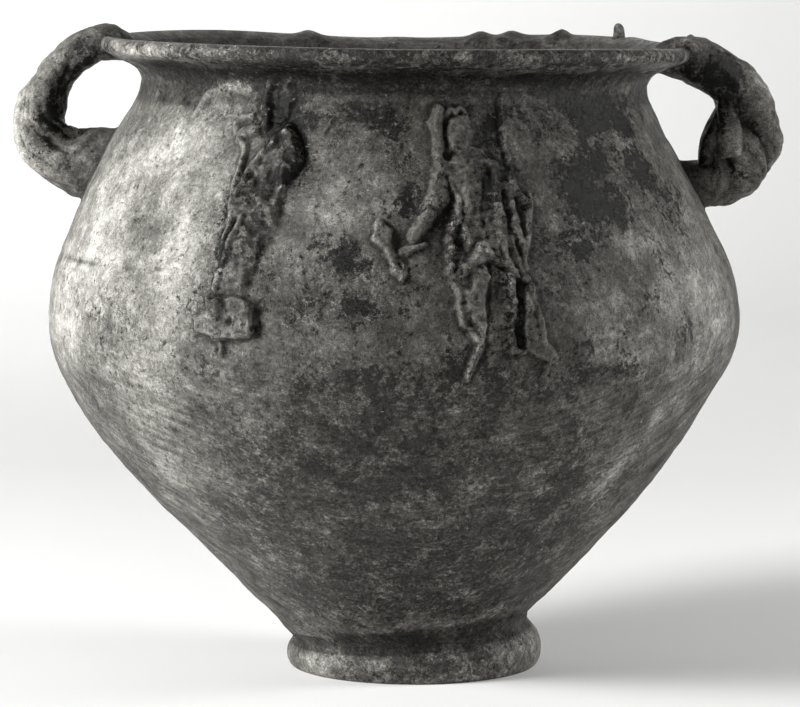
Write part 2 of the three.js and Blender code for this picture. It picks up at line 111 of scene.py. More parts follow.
def wallRadius(z):
    # outer radius at each height: the cone, the shoulder and the flare, each on its own curve
    z = np.asarray(z, float)
    notch, belly, throat = bowl["notchHeight"], bowl["bellyHeight"], bowl["throatHeight"]
    foot, widest, narrow = bowl["notchRadius"], bowl["bellyRadius"], bowl["throatRadius"]
    low = (z - notch) / (belly - notch)
    high = (z - belly) / (throat - belly)
    flare = np.minimum((z - throat) / (flareTop - throat), 1)
    cone = foot + (widest - foot) * readCurve(bowl["lowerShape"], low)
    shoulder = widest + (narrow - widest) * readCurve(bowl["upperShape"], high)
    top = narrow + (flareRadius - narrow) * readCurve(bowl["flareShape"], flare)
    return np.where(z < belly, cone, np.where(z < throat, shoulder, top))


def wallNormal(z):
    slope = wallRadius(np.asarray(z) + 0.5) - wallRadius(np.asarray(z) - 0.5)
    length = np.hypot(1, slope)
    return 1 / length, -slope / length


def azimuthOf(points):
    # degrees from the front, growing to the right
    return np.degrees(np.arctan2(points[:, 0], -points[:, 1]))


def warp(points):
    # takes points of the true wall to where the hand-thrown one has them
    x, y, z = points.T
    rise = np.clip((z - bowl["waveStart"]) / (bowl["rimHeight"] - bowl["waveStart"]), 0, 1)
    wave = readCurve(bowl["rimWave"], azimuthOf(points) % 360) * rise
    return np.stack([x + readCurve(bowl["shift"], z), y, z + readCurve(bowl["climb"], z) * x + wave], 1)


def onWall(azimuth, z):
    angle = np.radians(azimuth)
    r = wallRadius(z)
    return np.stack([r * np.sin(angle), -r * np.cos(angle), np.asarray(z, float) + 0 * r], -1)


def activate(obj):
    bpy.ops.object.select_all(action="DESELECT")
    obj.select_set(True)
    bpy.context.view_layer.objects.active = obj


def readTriples(items, name):
    # a vector property of all the items as rows of three
    flat = np.empty(len(items) * 3, np.float32)
    items.foreach_get(name, flat)
    return flat.reshape(-1, 3).astype(float)


def readPoints(obj):
    return readTriples(obj.data.vertices, "co")


def writePoints(obj, points):
    obj.data.vertices.foreach_set("co", np.asarray(points, np.float32).ravel())
    obj.data.update()


def tidyMesh(obj, gap=1e-5):
    activate(obj)
    bpy.ops.object.mode_set(mode="EDIT")
    bpy.ops.mesh.select_all(action="SELECT")
    bpy.ops.mesh.remove_doubles(threshold=gap)
    bpy.ops.mesh.normals_make_consistent(inside=False)
    bpy.ops.object.mode_set(mode="OBJECT")


def selectFaces(obj, chosen):
    activate(obj)
    bpy.ops.object.mode_set(mode="EDIT")
    bpy.ops.mesh.select_mode(type="FACE")
    bpy.ops.mesh.select_all(action="DESELECT")
    bpy.ops.object.mode_set(mode="OBJECT")
    obj.data.polygons.foreach_set("select", chosen)
    bpy.ops.object.mode_set(mode="EDIT")


def spinWall():
    inner = bowl["footEdge"] - bowl["ringWidth"]
    recess = bowl["recess"]
    outline = [(0, recess), (inner * 0.5, recess), (inner - bowl["recessSlope"], recess), (inner, 0),
               (inner + bowl["ringWidth"] / 2, 0), (bowl["footEdge"], 0)]
    foot = [[0, bowl["footEdge"]], [0.1, 56.8], [0.25, 57.5], [0.5, 57.4], [0.7, 56.2], [0.86, 54.2],
            [1, bowl["notchRadius"]]]
    for share in np.linspace(0.06, 0.94, 9):
        outline.append((float(readCurve(foot, share)), share * bowl["notchHeight"]))
    # evenly spaced rows along the outside
    fine = np.linspace(bowl["notchHeight"], flareTop, 2000)
    radius = wallRadius(fine)
    run = np.concatenate([[0], np.cumsum(np.hypot(np.diff(fine), np.diff(radius)))])
    rows = int(run[-1] / bowl["rowStep"])
    for place in np.linspace(0, run[-1], rows + 1):
        z = float(np.interp(place, run, fine))
        outline.append((float(wallRadius(z)), z))
    half = bowl["lipThickness"] / 2
    for angle in np.radians(np.linspace(-50, 110, 9)):
        lift = bowl["rimHeight"] - half + half * math.sin(angle)
        outline.append((flareRadius + half * math.cos(angle), lift))
    floor = recess + bowl["floor"]
    for z in np.linspace(flareTop - 3, bowl["notchHeight"] + bowl["wall"], 32):
        out, up = wallNormal(z)
        r, level = float(wallRadius(z) - bowl["wall"] * out), float(z - bowl["wall"] * up)
        if level > floor + 3 and (z < bowl["throatHeight"] or r < flareRadius - 8):
            outline.append((r, level))
    corner = outline[-1][0]
    outline += [(corner * 0.93, floor + 1), (corner * 0.82, floor), (corner * 0.5, floor), (0, floor)]

    bpy.ops.mesh.primitive_circle_add(vertices=len(outline), radius=1, fill_type="NOTHING")
    wall = bpy.context.object
    wall.name = "relief_wall"
    writePoints(wall, [(r, 0, z) for r, z in outline])
    bpy.ops.object.mode_set(mode="EDIT")
    bpy.ops.mesh.select_mode(type="EDGE")
    bpy.ops.mesh.select_all(action="DESELECT")
    bpy.ops.object.mode_set(mode="OBJECT")
    for edge in wall.data.edges:
        edge.select = set(edge.vertices) == {0, len(outline) - 1}
    bpy.ops.object.mode_set(mode="EDIT")
    bpy.ops.mesh.delete(type="EDGE")
    bpy.ops.mesh.select_all(action="SELECT")
    bpy.ops.mesh.spin(steps=bowl["columns"], angle=2 * math.pi, center=(0, 0, 0), axis=(0, 0, 1))
    bpy.ops.object.mode_set(mode="OBJECT")
    tidyMesh(wall, 1e-3)
    return wall


def outsideOf(points):
    # whether a point is on the outer wall between foot and lip
    x, y, z = points.T
    onSkin = np.abs(np.hypot(x, y) - wallRadius(z)) < 2.6
    return (z > 24) & (z < flareTop - 1) & onSkin


wall = spinWall()

# Figures in relief, in millimetres right of the figure's axis and above its feet. Pads are closed
# outlines with a height and the width of their sloping edge. Limbs are paths with half widths and a
# height. Marks are folds pressed up from what lies under them or, below 0, grooves pressed in.
figures = {
    "jugBearer": {
        "azimuth": 14, "feet": 152,
        "pads": [
            ([[-4.5, 98.5], [-6, 92], [-5, 86], [-1, 83], [3.5, 86.5], [4, 94], [1.5, 101]], 2.8, 4.2),
            ([[-8.5, 78], [-3.5, 84], [3, 88], [9, 85.5], [15, 80.5], [20.5, 76], [24, 68.5], [28, 65],
              [24.5, 51.5], [20.5, 34.5], [18, 31.5], [11.5, 40], [5.5, 41.5], [-6, 36], [-12.5, 33],
              [-12.5, 42], [-9.5, 55.5], [-4.5, 65.5], [-7.5, 72.5]], 2.6, 3.0),
            ([[-12.5, 35.5], [2.5, 40], [5.5, 35], [1, 25], [1, 15.5], [-0.5, 6], [-4, -0.5], [-6, -7],
              [-8.5, -6], [-4, 7], [-6.5, 14], [-10, 16.5], [-10.5, 27]], 3.0, 2.2),
            ([[6, 40], [15, 36.5], [16.5, 6.5], [12.5, 3.5], [7.5, 6], [3, 7], [0.5, 10.5],
              [3.5, 25]], 1.6, 2.4),
            ([[18, 34.5], [21.5, 34.5], [23, 26], [25.5, 17.5], [26.5, 10.5], [31.5, 2.5], [28.5, 0],
              [20.5, 4.5], [16.5, 6.5], [17, 18.5]], 2.8, 2.0),
            ([[-37, 58.5], [-33, 54], [-34.5, 49], [-32.5, 44.5], [-30, 40.5], [-30.5, 35.5],
              [-32, 33.5], [-35.5, 38], [-38, 46.5], [-42.5, 50.5], [-40, 55.5]], 2.6, 1.8),
            ([[17.5, 109.5], [28.5, 109], [31, 99], [29.5, 80], [22, 79.5], [19.5, 90.5]], 0.6, 5.0),
        ],
        "limbs": [
            ([[-8.5, 102.5], [-10, 96], [-9.5, 88.5], [-10, 82.5], [-9, 77]],
              [2.2, 3.0, 2.6, 2.2, 2.6], 3.4),
            ([[-8.5, 78], [-11.5, 69], [-16, 63], [-22.5, 54.5], [-25.5, 51]],
              [4.0, 4.2, 3.4, 2.4, 1.8], 3.6),
            ([[-6, 101], [-4, 103], [-2, 101.5]], [1.2, 1.4, 1.2], 2.4),
            ([[-2, 101.5], [0, 103], [2, 100.5]], [1.2, 1.4, 1.2], 2.4),
            ([[-32.5, 44.5], [-27.5, 46], [-20.5, 48.5]], [1.2, 1.4, 1.0], 1.8),
            ([[18, 107.5], [19, 95], [20.5, 82]], [1.0, 1.3, 1.0], 1.5),
            ([[29, 6], [31.5, 1.5], [28.5, -1], [27, -5.5]], [0.9, 1.2, 1.2, 0.9], 1.6),
        ],
        "marks": [
            ([[0, 70], [-5, 64], [-8.5, 55.5], [-11, 46], [-12.5, 38]], [1.3, 1.6, 1.7, 1.6, 1.4], 1.4),
            ([[-8.5, 36], [-4, 38.5], [0.5, 42.5], [2.5, 47], [5, 44]], [1.3, 1.7, 1.9, 1.6, 1.3], 2.2),
            ([[-1, 69], [-1, 62], [-3.5, 54.5], [-2, 48.5]], [0.8, 1.0, 0.9, 0.8], 1.0),
            ([[-7, 54.5], [-6.5, 48.5], [-4, 44.5], [-2, 46]], [1.5, 2.0, 2.0, 1.4], -1.5),
            ([[12.5, 79.5], [12, 68.5], [11, 56.5], [12.5, 45.5], [16.5, 34.5]],
              [1.0, 1.2, 1.3, 1.2, 1.0], 1.4),
            ([[20, 79.5], [19, 68.5], [18.5, 56.5], [20.5, 48]], [0.9, 1.1, 1.1, 0.9], 1.2),
            ([[28, 68], [26.5, 60.5], [24.5, 54.5], [21.5, 43]], [0.9, 1.2, 1.3, 1.0], 1.2),
            ([[15.5, 68.5], [15.5, 61.5], [16, 53]], [1.0, 1.4, 1.1], -1.9),
            ([[21, 65], [21.5, 60], [21.5, 53]], [1.0, 1.4, 1.1], -1.9),
            ([[14.5, 45.5], [16, 40], [18, 32]], [1.2, 1.8, 1.1], -2.4),
            ([[18.5, 49], [19.5, 43], [20, 36.5]], [0.9, 1.3, 0.9], -2.0),
            ([[-34, 46.5], [-32.5, 42], [-31, 38.5]], [0.8, 1.3, 0.8], -1.8),
            ([[2, 37.5], [-2, 32.5], [-2, 24], [0, 15.5], [-2, 7]], [1.6, 2.4, 2.6, 2.2, 1.6], 1.4),
            ([[-8, 27], [-7, 21], [-5.5, 16.5]], [1.2, 1.5, 1.1], -0.8),
            ([[-10, 33], [-8, 31], [-4.5, 33]], [1.6, 2.0, 1.5], -1.3),
            ([[13, 35.5], [13.5, 29.5], [15, 21], [12, 14.5], [12.5, 6.5], [17, 4.5]],
              [0.9, 1.2, 1.4, 1.3, 1.2, 1.0], 2.2),
            ([[16, 31.5], [16.5, 23], [14.5, 15.5], [15.5, 7.5]], [1.2, 1.7, 1.6, 1.3], -2.6),
            ([[7.5, 35], [6, 25], [4.5, 14.5], [7, 7]], [3.0, 4.0, 4.0, 3.0], -1.2),
            ([[22.5, 30.5], [24, 21], [24, 11.5]], [0.9, 1.2, 1.0], 0.9),
            ([[19, 28], [19.5, 19.5], [20.5, 8]], [0.9, 1.1, 1.0], 0.8),
            ([[-5, 95], [-1.5, 95]], [0.9, 0.9], -0.6),
            ([[0.5, 95], [3.5, 94.5]], [0.9, 0.9], -0.6),
            ([[-0.5, 94], [-1, 91]], [0.9, 1.2], 0.7),
            ([[-3, 88], [1, 88]], [0.9, 0.9], -0.4),
            ([[3, 101.5], [9, 94.5], [14.5, 88], [19.5, 81.5]], [0.6, 0.7, 0.7, 0.6], -0.6),
            ([[-6.5, 82.5], [-1.5, 83], [5.5, 83], [13, 82.5]], [1.4, 1.8, 1.8, 1.4], -1.4),
            ([[-1, 77], [3, 78.5]], [1.4, 1.3], 1.1),
            ([[7.5, 72], [5.5, 63.5], [5, 55]], [1.0, 1.3, 1.0], -0.8),
        ],
    },
    "staffBearer": {
        "azimuth": -26, "feet": 176,
        "pads": [
            ([[3, 72], [10, 70.5], [17, 64], [19, 57.5], [17, 50], [15, 44.5], [16, 36.5], [3.5, 34.5],
              [-6.5, 36], [-5.5, 45.5], [-1, 54], [3, 62]], 2.6, 3.0),
            ([[-6.5, 39], [15.5, 38], [16, 30.5], [11.5, 21.5], [8.5, 13.5], [5.5, 3], [-8.5, 1.5],
              [-8, 14.5], [-7, 26]], 2.4, 4.5),
            ([[-15.5, -6], [-9.5, -4.5], [-8.5, 1.5], [6, 2], [11, 0], [12, -11], [9.5, -13.5],
              [-5.5, -15], [-14.5, -12]], 4.0, 1.6),
            ([[-6.5, 81], [-1.5, 88], [6, 88.5], [9, 80], [7, 71], [-0.5, 71]], 1.7, 5.0),
        ],
        "limbs": [
            ([[-2, 88], [-3.5, 82.5], [-2.5, 76.5], [0.5, 71]], [2.0, 2.6, 2.8, 2.0], 3.6),
            ([[10.5, 69.5], [7.5, 65.5], [3.5, 60.5], [0.5, 54], [-1.5, 48]],
              [2.6, 2.6, 2.4, 2.2, 1.6], 4.2),
            ([[10.5, 69], [16, 63], [17.5, 57.5], [16, 52], [14.5, 49.5]],
              [2.2, 2.8, 3.0, 2.8, 1.8], 4.6),
            ([[-14, 69], [-15.5, 72.5], [-13.5, 74.5], [-9, 75.5]], [1.2, 1.6, 1.6, 1.2], 1.8),
            ([[-10.5, 68.5], [-5, 69.5]], [2.4, 2.2], 2.6),
            ([[-11, 65.5], [-6.5, 62], [-6.5, 53.5], [-7.5, 44]], [1.3, 1.5, 1.4, 1.2], 2.0),
            ([[-8, 1], [-4.5, -1.5], [-5, -5.5]], [2.4, 3.0, 3.0], 5.0),
            ([[-4, -15], [-3, -17], [-4, -21]], [0.8, 1.0, 0.9], 1.4),
            ([[-40, 76], [-37, 81.5], [-27, 85.5], [-12.5, 84.5]], [1.4, 1.8, 1.8, 1.4], 0.9),
        ],
        "marks": [
            ([[-1.5, 55.5], [-3, 49.5], [-5, 43], [-6, 37.5]], [1.0, 1.1, 1.1, 0.9], 1.3),
            ([[-5.5, 40], [-0.5, 41], [5.5, 41.5], [13, 36]], [1.3, 1.6, 1.6, 1.2], 1.7),
            ([[-5, 34], [-6.5, 24.5], [-7.5, 13], [-7.5, 5]], [0.8, 0.9, 0.9, 0.8], 1.2),
            ([[1, 33.5], [-2, 26.5], [-4.5, 20], [-5.5, 13], [-6, 5]], [0.9, 1.1, 1.1, 1.0, 0.9], 1.7),
            ([[-2, 32.5], [-4.5, 25.5], [-6.5, 18], [-6.5, 10.5]], [0.9, 1.1, 1.2, 0.9], -1.8),
            ([[8, 57], [8.5, 51], [13.5, 43.5]], [1.6, 2.2, 1.8], -1.4),
            ([[9, 39.5], [11.5, 44.5], [12.5, 51]], [1.0, 1.4, 1.2], -0.8),
            ([[-1, 1], [0.5, -4]], [1.2, 1.4], -1.6),
            ([[3, 86], [5, 81.5], [5, 76]], [2.0, 2.4, 1.8], -0.8),
            ([[29.5, 60], [28.5, 68], [30, 74]], [1.0, 1.2, 0.7], -0.9),
            ([[30, 74], [34, 70.5], [36, 63], [35.5, 56]], [0.7, 1.2, 1.2, 1.0], -0.9),
            ([[26.5, 68], [28, 75], [31, 77]], [0.7, 0.9, 0.6], 0.7),
            ([[1, 50.5], [5.5, 47.5], [4.5, 42.5]], [1.2, 1.4, 1.2], -0.7),
        ],
    },
}
for azimuth, lean in ((152, 2), (207, -2)):
    figures["mantled%d" % azimuth] = {
        "azimuth": azimuth, "feet": 158,
        "pads": [
            ([[lean - 9, 78], [lean + 10, 78], [14, 52], [13 - lean, 24], [11 - lean, 3],
              [-12 - lean, 3], [-13 - lean, 26], [-11, 54]], 3.4, 3.0),
        ],
        "limbs": [
            ([[lean, 97], [lean, 86]], [5.2, 6.2], 4.4),
            ([[lean, 88], [lean, 78]], [3, 3.4], 3),
            ([[lean + 8, 76], [lean + 15, 62], [lean + 6, 53]], [2.8, 2.6, 2.2], 4.4),
            ([[-6, 0], [6, 0]], [3.4, 3.4], 3.6),
        ],
        "marks": [
            ([[-6 + 6.5 * k, 60], [-7 + lean / 2 + 7 * k, 33], [-8 + 8 * k, 6]], [1.2, 1.6, 1.3], 1.8)
            for k in range(3)
        ],
    }


def smoothPath(points, cuts=4):
    # points on a smooth curve through the given ones, with the share of the way of each
    p = np.array(points, float)
    if len(p) < 3:
        share = np.linspace(0, 1, cuts + 1)
        return p[0] + (p[1] - p[0]) * share[:, None], share
    place = np.arange(len(p))
    at = np.linspace(0, len(p) - 1, (len(p) - 1) * cuts + 1)
    columns = [readCurve(np.stack([place, p[:, k]], 1), at) for k in range(p.shape[1])]
    return np.stack(columns, 1), at / (len(p) - 1)


def gapTo(spot, a, b):
    # distance to the line from a to b, and the share of the way at which it is met
    along = b - a
    t = np.clip(((spot - a) @ along) / (along @ along), 0, 1)
    return np.linalg.norm(spot - a - t[:, None] * along, axis=1), t


def strokeShape(spot, path, half):
    # 1 on the stroke's spine, 0 past its edge
    line, share = smoothPath(path)
    width = np.interp(share, np.linspace(0, 1, len(half)), half)
    best = np.full(len(spot), 9.0)
    for a, b, wa, wb in zip(line[:-1], line[1:], width[:-1], width[1:]):
        gap, t = gapTo(spot, a, b)
        best = np.minimum(best, gap / (wa + (wb - wa) * t))
    return np.clip(1 - (best / 1.3) ** 2, 0, 1)


def padShape(spot, outline, edge):
    # 1 well inside the closed outline, 0 outside it
    corners = np.array(outline + outline[:1], float)
    inside = np.zeros(len(spot), bool)
    nearest = np.full(len(spot), 1e3)
    for a, b in zip(corners[:-1], corners[1:]):
        nearest = np.minimum(nearest, gapTo(spot, a, b)[0])
        crosses = (a[1] > spot[:, 1]) != (b[1] > spot[:, 1])
        climb = b[1] - a[1] if abs(b[1] - a[1]) > 1e-9 else 1e-9
        inside ^= crosses & (spot[:, 0] < a[0] + (b[0] - a[0]) * (spot[:, 1] - a[1]) / climb)
    share = np.clip(np.where(inside, nearest, -nearest) / edge + 0.5, 0, 1)
    return share * share * (3 - 2 * share)


def reliefAt(points):
    # height of the figures' clay over the wall at each point, in millimetres
    azimuth = azimuthOf(points)
    z = points[:, 2]
    relief = np.zeros(len(points))
    # the strokes' edges wander a little both ways
    wander = np.stack([layered(points, [[0.5, 16, seed], [0.24, 6, seed + 1], [0.14, 3, seed + 2]])
                       for seed in (21, 24)], 1)
    for figure in figures.values():
        turn = (azimuth - figure["azimuth"] + 180) % 360 - 180
        near = outsideOf(points) & (z > figure["feet"] - 28) & (z < 268) & (np.abs(turn) < 24)
        here = points[near]
        across = np.radians(turn[near]) * wallRadius(here[:, 2])
        spot = np.stack([across, here[:, 2] - figure["feet"]], 1) + wander[near]
        heap = np.zeros(len(here))
        for outline, rise, edge in figure["pads"]:
            heap += (rise * padShape(spot, outline, edge)) ** 3
        for path, half, rise in figure["limbs"]:
            heap += (0.9 * rise * strokeShape(spot, path, half) ** 1.2) ** 3
        height = np.cbrt(heap)
        for path, half, rise in figure["marks"]:
            height += 0.8 * rise * strokeShape(spot, path, [1.4 * size for size in half]) ** 1.6
        relief[near] = np.maximum(relief[near], height)
    return relief


def refine(obj, chosen):
    selectFaces(obj, chosen)
    bpy.ops.mesh.subdivide(number_cuts=1)
    bpy.ops.object.mode_set(mode="OBJECT")


# finer faces on the outside, finer again at the front and finest where the front figures lie
centres = readTriples(wall.data.polygons, "center")
refine(wall, outsideOf(centres) & (centres[:, 1] < 40))
centres = readTriples(wall.data.polygons, "center")
azimuth = azimuthOf(centres)
front = outsideOf(centres) & (centres[:, 2] > 140) & (centres[:, 2] < 266)
front &= (azimuth > -42) & (azimuth < 36)
back = outsideOf(centres) & (reliefAt(centres) > 0) & (centres[:, 1] > 40)
refine(wall, front | back)
centres = readTriples(wall.data.polygons, "center")
refine(wall, (reliefAt(centres) > 0) & (centres[:, 1] < 0))
centres = readTriples(wall.data.polygons, "center")
refine(wall, (centres[:, 2] > 273) & (centres[:, 1] > 80))
print("wall spun:", len(wall.data.polygons), "faces")

points = readPoints(wall)
outside = outsideOf(points)
azimuth = azimuthOf(points)
points[outside] = onWall(azimuth[outside], points[outside, 2])
relief = reliefAt(points)
out, up = wallNormal(points[:, 2])
worn = 0.88 + layered(points, [[0.14, 14, 4], [0.12, 5, 9]])
rubbed = layered(points, [[0.2, 5, 10], [0.14, 2.8, 14]]) * np.clip(relief, 0, 1)
rise = 1.12 * relief * worn + rubbed
# incised double line on the shoulder, deep at the left, throwing ridges and hand-made unevenness
depth = 0.25 + 0.75 * np.exp(-((azimuth + 62) / 26) ** 2)
for level, deep in ((187.5, 0.7), (184.0, 0.55)):
    rise -= depth * deep * np.exp(-((points[:, 2] - level - 0.5 * lumps(points, 60, 3)) / 0.9) ** 2)
rise += layered(points, [[0.45, 85, 5], [0.22, 24, 6], [0.1, 9, 7], [0.05, 4.2, 15]])
rise += 0.05 * np.sin(points[:, 2] * 1.05 + 0.8 * lumps(points, 70, 8))
angle = np.radians(azimuth)
points[outside, 0] += (rise * out * np.sin(angle))[outside]
points[outside, 1] -= (rise * out * np.cos(angle))[outside]
points[outside, 2] += (rise * up)[outside]
# gentle humps along the rim: [azimuth, height, half width]
humps = [[199, 2.3, 5.2], [161.5, 2.4, 5.0], [154.4, 2.2, 5.4], [142, 2.6, 3.8], [180, 0.5, 9],
         [120, 0.7, 8]]
lift = np.zeros(len(points))
for place, height, half in humps:
    arc = np.radians((azimuth - place + 180) % 360 - 180) * flareRadius
    lift += height * np.exp(-(arc / half) ** 2)
points[:, 2] += lift * np.clip((points[:, 2] - 268) / 9, 0, 1)
points = warp(points)
points[:, 0] += axisX
points[:, 1] = np.clip(points[:, 1], -bowl["bellyRadius"], bowl["bellyRadius"])
writePoints(wall, points / 1000)
print("figures raised")

# The rope handles. Stations: share of the reach past the lip, share of the drop, shares of both half
# thicknesses. Folds are finer creases beside the grooves between the strands
ropeReach = 27.5
handles = {
    "right": {
        "side": 1, "belowRim": 6.5, "drop": 57.7, "front": 16.8, "deep": 13.2,
        "stations": [[-0.52, 0.02, 0.38, 0.7], [-0.04, 0.01, 0.6, 0.92], [0.25, 0.06, 0.67, 0.92],
                     [0.51, 0.14, 0.66, 0.88], [0.76, 0.26, 0.73, 0.88], [0.89, 0.44, 0.9, 0.96],
                     [0.85, 0.63, 1, 1], [0.7, 0.8, 0.97, 0.96], [0.44, 0.93, 0.77, 0.92],
                     [0.12, 0.98, 0.67, 0.85], [-0.31, 1, 0.68, 0.85]],
        "turn": [[0, 0.12], [0.4, -0.05], [0.6, -0.35], [1, -0.95]],
        "grooves": [[0, 0], [0.2, 0.03], [0.4, 0.14], [0.6, 0.26], [0.78, 0.22], [0.88, 0.03], [1, 0]],
        "folds": [[0, 0], [0.3, 0.03], [0.6, 0.06], [0.85, 0.05], [1, 0]],
    },
    "left": {
        "side": -1, "belowRim": 1, "drop": 53.8, "front": 16.6, "deep": 13.6,
        "stations": [[-0.67, 0.06, 0.2, 0.65], [-0.14, -0.01, 0.51, 0.89], [0.13, 0.01, 0.51, 0.89],
                     [0.45, 0.1, 0.51, 0.81], [0.75, 0.27, 0.54, 0.81], [0.92, 0.43, 0.67, 0.85],
                     [1, 0.61, 0.74, 0.89], [0.93, 0.78, 0.83, 0.93], [0.69, 0.91, 0.9, 0.96],
                     [0.34, 0.98, 0.97, 1], [-0.13, 1, 1, 1]],
        "turn": [[0, 0.36], [0.5, 0.52], [0.75, 0.8], [1, 1.02]],
        "grooves": [[0, 0], [0.12, 0.05], [0.35, 0.17], [0.65, 0.19], [0.86, 0.13], [0.94, 0.02],
                    [1, 0]],
        "folds": [[0, 0], [0.4, 0.03], [0.62, 0.09], [0.84, 0.1], [0.93, 0.02], [1, 0]],
    },
}
ropeMesh = {"around": 64, "along": 130}


def capEnds(obj, gap):
    # closes the open ends of a rolled-up grid
    activate(obj)
    bpy.ops.object.mode_set(mode="EDIT")
    bpy.ops.mesh.select_all(action="SELECT")
    bpy.ops.mesh.remove_doubles(threshold=gap)
    bpy.ops.mesh.select_all(action="DESELECT")
    bpy.ops.mesh.select_mode(type="EDGE")
    bpy.ops.mesh.select_non_manifold()
    bpy.ops.mesh.edge_face_add()
    bpy.ops.object.mode_set(mode="OBJECT")
    tidyMesh(obj, 1e-6)


def rolledGrid(name, around, along):
    bpy.ops.mesh.primitive_grid_add(x_subdivisions=around, y_subdivisions=along, size=2)
    rope = bpy.context.object
    rope.name = name
    flat = readPoints(rope)
    return rope, (flat[:, 0] + 1) * math.pi, (flat[:, 1] + 1) / 2


def twistHandle(name, spec):
    rope, angle, t = rolledGrid("rope_" + name, ropeMesh["around"], ropeMesh["along"])
    stations = np.array(spec["stations"], float)
    place = np.linspace(0, 1, len(stations))
    top = bowl["rimHeight"] - spec["belowRim"]
    footRoot = float(wallRadius(top - spec["drop"]))

    def column(k, at):
        return readCurve(np.stack([place, stations[:, k]], 1), at)

    def centreLine(at):
        down = column(1, at)
        reach = bowl["lipRadius"] + (footRoot - bowl["lipRadius"]) * down + ropeReach * column(0, at)
        return np.stack([reach, top - spec["drop"] * down], 1)

    ahead = centreLine(np.minimum(t + 0.004, 1)) - centreLine(np.maximum(t - 0.004, 0))
    ahead /= np.linalg.norm(ahead, axis=1)[:, None]
    outward = np.stack([-ahead[:, 1], ahead[:, 0]], 1)  # away from the eye of the handle
    twist = angle - 2 * math.pi * readCurve(spec["turn"], t)
    twist += 0.22 * np.sin(7 * t + 1) + 0.12 * np.sin(19 * t + 2 * angle)
    size = 1 - readCurve(spec["grooves"], t) * (1 - np.abs(np.cos(1.5 * twist)) ** 0.8)
    size -= readCurve(spec["folds"], t) * (1 - np.abs(np.cos(4.5 * twist + 2 * np.sin(9 * t))) ** 0.6)
    wide = size * spec["front"] * column(2, t) * np.cos(angle)
    deep = size * spec["deep"] * column(3, t) * np.sin(angle)
    line = centreLine(t)
    reach = line[:, 0] + outward[:, 0] * wide
    level = line[:, 1] + outward[:, 1] * wide
    # the lower end is cut aslant, so that it stays hidden in the wall
    sunk = np.clip((t - 0.9) / 0.1, 0, 1) ** 2
    reach += sunk * (np.sqrt(np.maximum((wallRadius(level) - 4) ** 2 - deep**2, 0)) - reach)
    solid = np.stack([spec["side"] * reach, -deep, level], 1)
    swell = layered(solid, [[0.4, 15, 11], [0.2, 6, 12], [0.1, 3, 16]])
    swell *= np.clip((1 - t) / 0.06, 0, 1)
    solid += swell[:, None] * np.stack([spec["side"] * outward[:, 0] * np.cos(angle), -np.sin(angle),
                                        outward[:, 1] * np.cos(angle)], 1)
    solid[:, 0] += axisX
    writePoints(rope, solid / 1000)
    capEnds(rope, 2e-5)
    return rope


# The free end of one strand, tucked in against the inner side of the right handle, and the strand it
# lies on. Lean is how far the lower end stands further out than the upper one.
tuckedStrands = {
    "tongue": {"pastLip": 15.5, "belowRim": 20, "length": 30.5, "lean": 3.5, "across": 5.6,
               "deep": 5.2, "forward": 9.5,
               "size": [[0, 0.55], [0.3, 0.8], [0.6, 1], [0.9, 1.06], [1, 0.96]]},
    "web": {"pastLip": 18, "belowRim": 26, "length": 28, "lean": -9, "across": 5,
            "deep": 6, "forward": 2, "size": [[0, 0.8], [0.5, 1], [1, 0.9]]},
}


def tuckedStrand(name, spec):
    strand, angle, t = rolledGrid("tucked_" + name, 32, 26)
    size = readCurve(spec["size"], t)
    swing = spec["forward"] * np.sin(math.pi / 2 * np.minimum(t + 0.3, 1))
    # flatter on its outer face, with a ridge down the front
    cross = np.sign(np.cos(angle)) * np.abs(np.cos(angle)) ** 0.8
    front = np.sign(np.sin(angle)) * np.abs(np.sin(angle)) ** 1.2
    reach = bowl["lipRadius"] + spec["pastLip"] + spec["lean"] * np.sin(math.pi / 2 * t)
    x = reach + spec["across"] * size * cross
    z = bowl["rimHeight"] - spec["belowRim"] - spec["length"] * t + 0.8 * np.sin(2 * angle) * t
    solid = np.stack([x, -swing - spec["deep"] * size * front, z], 1)
    solid += 0.3 * lumps(solid, 9, 13)[:, None]
    solid[:, 0] += axisX
    writePoints(strand, solid / 1000)
    capEnds(strand, 2e-5)
    return strand


def joinTo(base, tool, soften, passes=8):
    # unites both and rubs the joint smooth over that many millimetres
    graph = bpy.context.evaluated_depsgraph_get()
    trees = [BVHTree.FromObject(obj, graph) for obj in (base, tool)]
    corners = readPoints(tool)
    low, high = corners.min(0) - soften / 1000, corners.max(0) + soften / 1000
    activate(base)
    union = base.modifiers.new("union", "BOOLEAN")
    union.operation = "UNION"
    union.solver = "EXACT"
    union.object = tool
    bpy.ops.object.modifier_apply(modifier=union.name)
    bpy.data.objects.remove(tool)
    points = readPoints(base)
    near = ((points > low) & (points < high)).all(1)
    chosen = np.zeros(len(points), bool)
    for index in np.flatnonzero(near):
        chosen[index] = all(tree.find_nearest(points[index], soften / 1000)[0] for tree in trees)
    activate(base)
    bpy.ops.object.mode_set(mode="EDIT")
    bpy.ops.mesh.select_mode(type="VERT")
    bpy.ops.mesh.select_all(action="DESELECT")
    bpy.ops.object.mode_set(mode="OBJECT")
    base.data.vertices.foreach_set("select", chosen)
    bpy.ops.object.mode_set(mode="EDIT")
    bpy.ops.mesh.vertices_smooth(factor=0.5, repeat=passes)
    bpy.ops.object.mode_set(mode="OBJECT")


for name, spec in handles.items():
    joinTo(wall, twistHandle(name, spec), 3.2)
    print("handle joined:", name)
for name, spec in tuckedStrands.items():
    joinTo(wall, tuckedStrand(name, spec), 1.2, 3)

